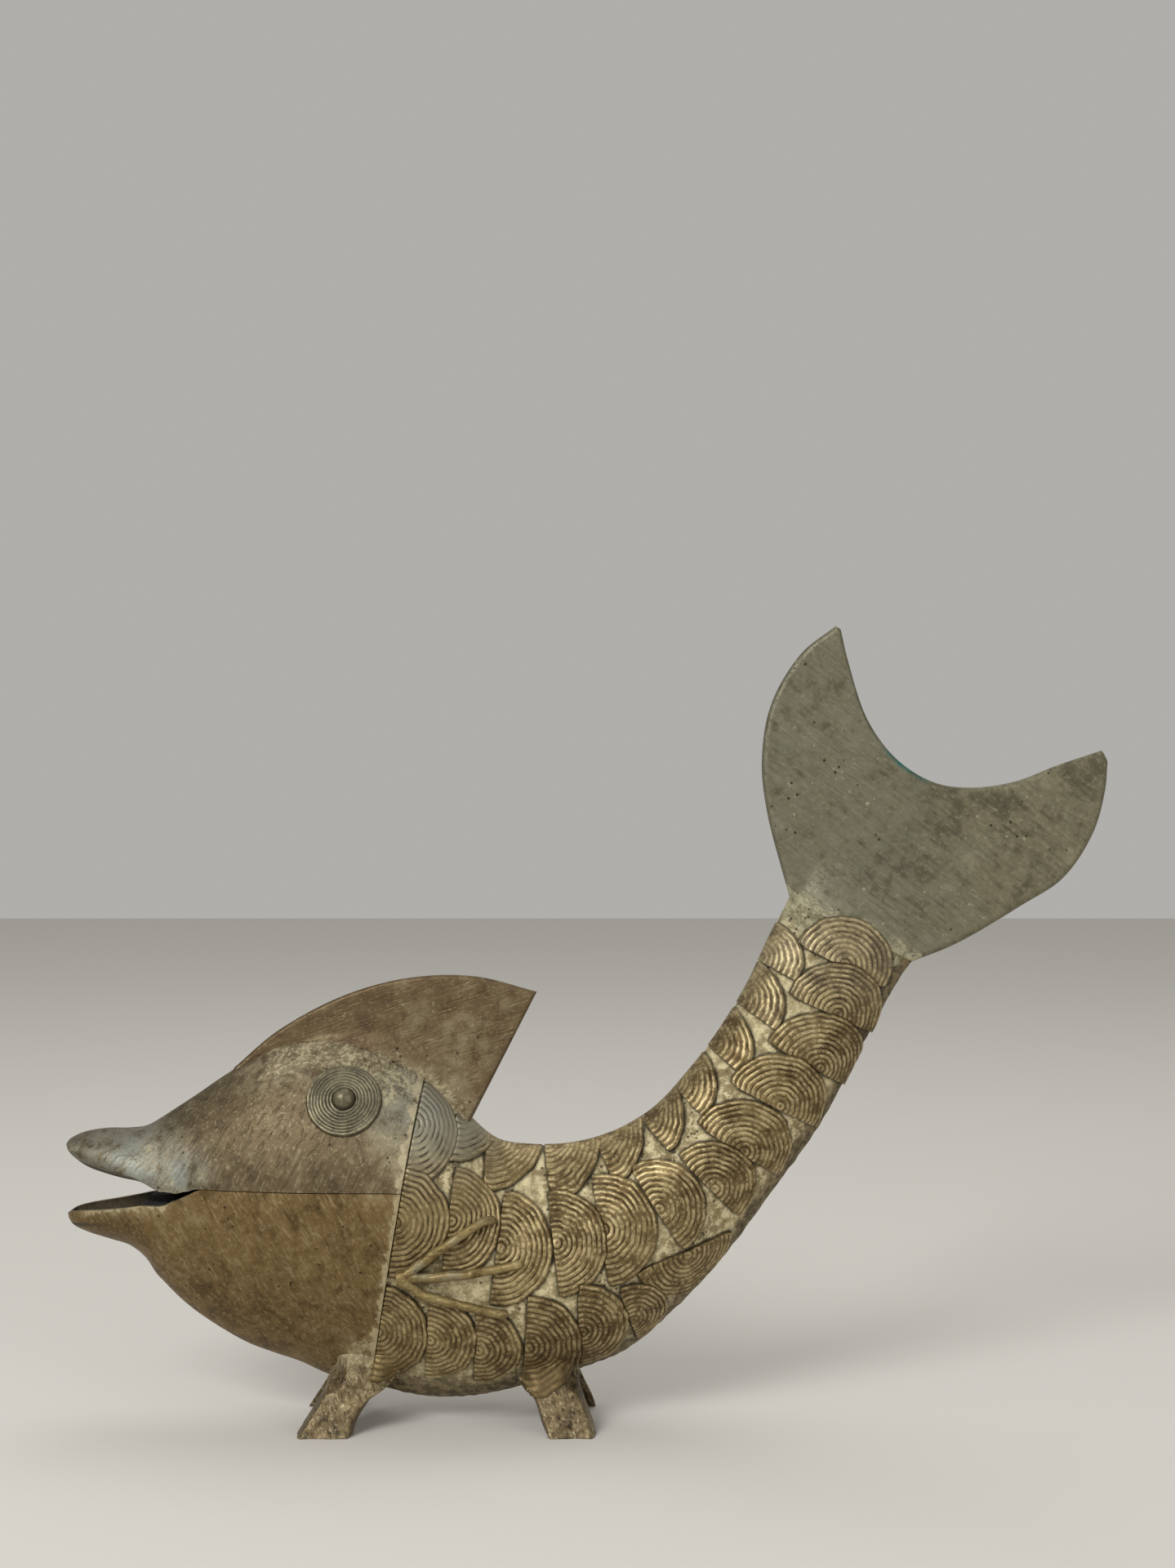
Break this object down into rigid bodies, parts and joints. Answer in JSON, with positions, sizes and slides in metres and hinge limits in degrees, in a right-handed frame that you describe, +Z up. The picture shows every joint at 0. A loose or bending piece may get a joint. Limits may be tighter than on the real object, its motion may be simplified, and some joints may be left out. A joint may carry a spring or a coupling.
{
  "type": "animal figurine",
  "caption": "Cast bronze fish with a beaked head, tall dorsal fin, upturned crescent tail and coiled-thread scales, standing on short folded-plate legs.",
  "frame": {"origin": "middle of the fish's footprint in plan, on the surface that its four feet stand on", "axes": "+X from the head to the tail, +Y to the fish's right side, +Z up"},
  "size_m": [0.3798, 0.0624, 0.2896],
  "materials": {
    "head": "brown-olive patina, satin, with diagonal brushed scratches and small casting pits",
    "bare": "pale dusty rough casting skin",
    "fin": "red-brown patina, satin, pale and rough where it blends into the head",
    "tail": "grey-green patina, satin, with faint brushed scratches and verdigris along the bay",
    "leg": "blue-grey satin patina with a light edge at the sole",
    "scale": "olive-brown patina, dark in the grooves and bright on the worn thread tops"
  },
  "bodies": {
    "root": {"head_upper": "head", "head_lower": "head", "body_shell": "bare", "dorsal_fin": "fin", "pectoral_fin_left": "fin", "pectoral_fin_right": "fin", "tail_fin": "tail", "leg_front_left": "leg", "leg_front_right": "leg", "leg_rear_left": "leg", "leg_rear_right": "leg", "eye_left": "scale", "eye_right": "scale", "flank_scale_1_left": "scale", "flank_scale_1_right": "scale", "flank_scale_2_left": "scale", "flank_scale_2_right": "scale", "flank_scale_3_left": "scale", "flank_scale_3_right": "scale", "flank_scale_4_left": "scale", "flank_scale_4_right": "scale", "flank_scale_5_left": "scale", "flank_scale_5_right": "scale", "flank_scale_6_left": "scale", "flank_scale_6_right": "scale", "flank_scale_7_left": "scale", "flank_scale_7_right": "scale", "flank_scale_8_left": "scale", "flank_scale_8_right": "scale", "flank_scale_9_left": "scale", "flank_scale_9_right": "scale", "flank_scale_10_left": "scale", "flank_scale_10_right": "scale", "flank_scale_11_left": "scale", "flank_scale_11_right": "scale", "flank_scale_12_left": "scale", "flank_scale_12_right": "scale", "back_scale_1_left": "scale", "back_scale_1_right": "scale", "back_scale_2": "scale", "back_scale_3": "scale", "back_scale_4": "scale", "back_scale_5": "scale", "back_scale_6": "scale", "back_scale_7": "scale", "back_scale_8": "scale", "back_scale_9": "scale", "back_scale_10": "scale", "belly_scale_1_left": "scale", "belly_scale_1_right": "scale", "belly_scale_2_left": "scale", "belly_scale_2_right": "scale", "belly_scale_3_left": "scale", "belly_scale_3_right": "scale", "belly_scale_4_left": "scale", "belly_scale_4_right": "scale", "belly_scale_5_left": "scale", "belly_scale_5_right": "scale", "belly_scale_6_left": "scale", "belly_scale_6_right": "scale"}
  },
  "joints": []
}
